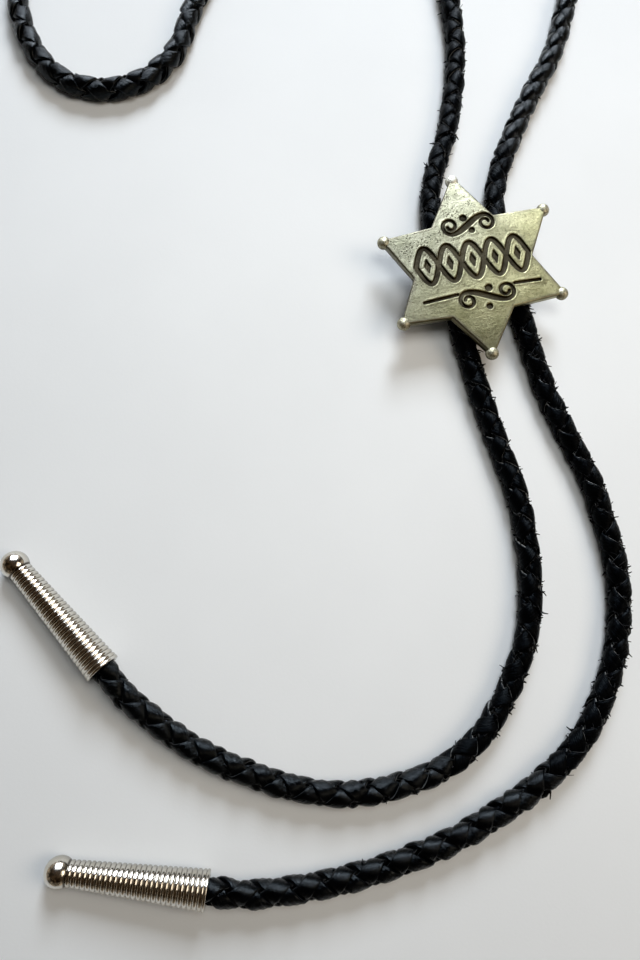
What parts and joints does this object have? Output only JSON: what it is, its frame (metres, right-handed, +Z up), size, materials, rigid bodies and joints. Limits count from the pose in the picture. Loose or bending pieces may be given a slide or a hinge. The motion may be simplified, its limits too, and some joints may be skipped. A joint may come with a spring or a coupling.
{
  "type": "bolo tie",
  "caption": "Braided black leather cord tie with a star-shaped engraved metal slide and ribbed metal tips, laid out flat with its neck loop folded over.",
  "frame": {"origin": "on the surface that it lies on, under the middle of the slide's keeper", "axes": "+Z up out of the surface, +Y up the star towards the neck loop, +X to the right of the star as it is seen"},
  "size_m": [0.167, 0.2651, 0.0084],
  "materials": {
    "cord_leather": "semi-gloss black braid",
    "star_pewter": "antiqued cast pewter, dark in its recesses",
    "keeper_steel": "plain pressed sheet",
    "tip_nickel": "bright nickel plating"
  },
  "bodies": {
    "root": {"cord": "cord_leather", "star_badge": "star_pewter", "keeper": "keeper_steel", "tip_left": "tip_nickel", "tip_right": "tip_nickel"}
  },
  "joints": []
}
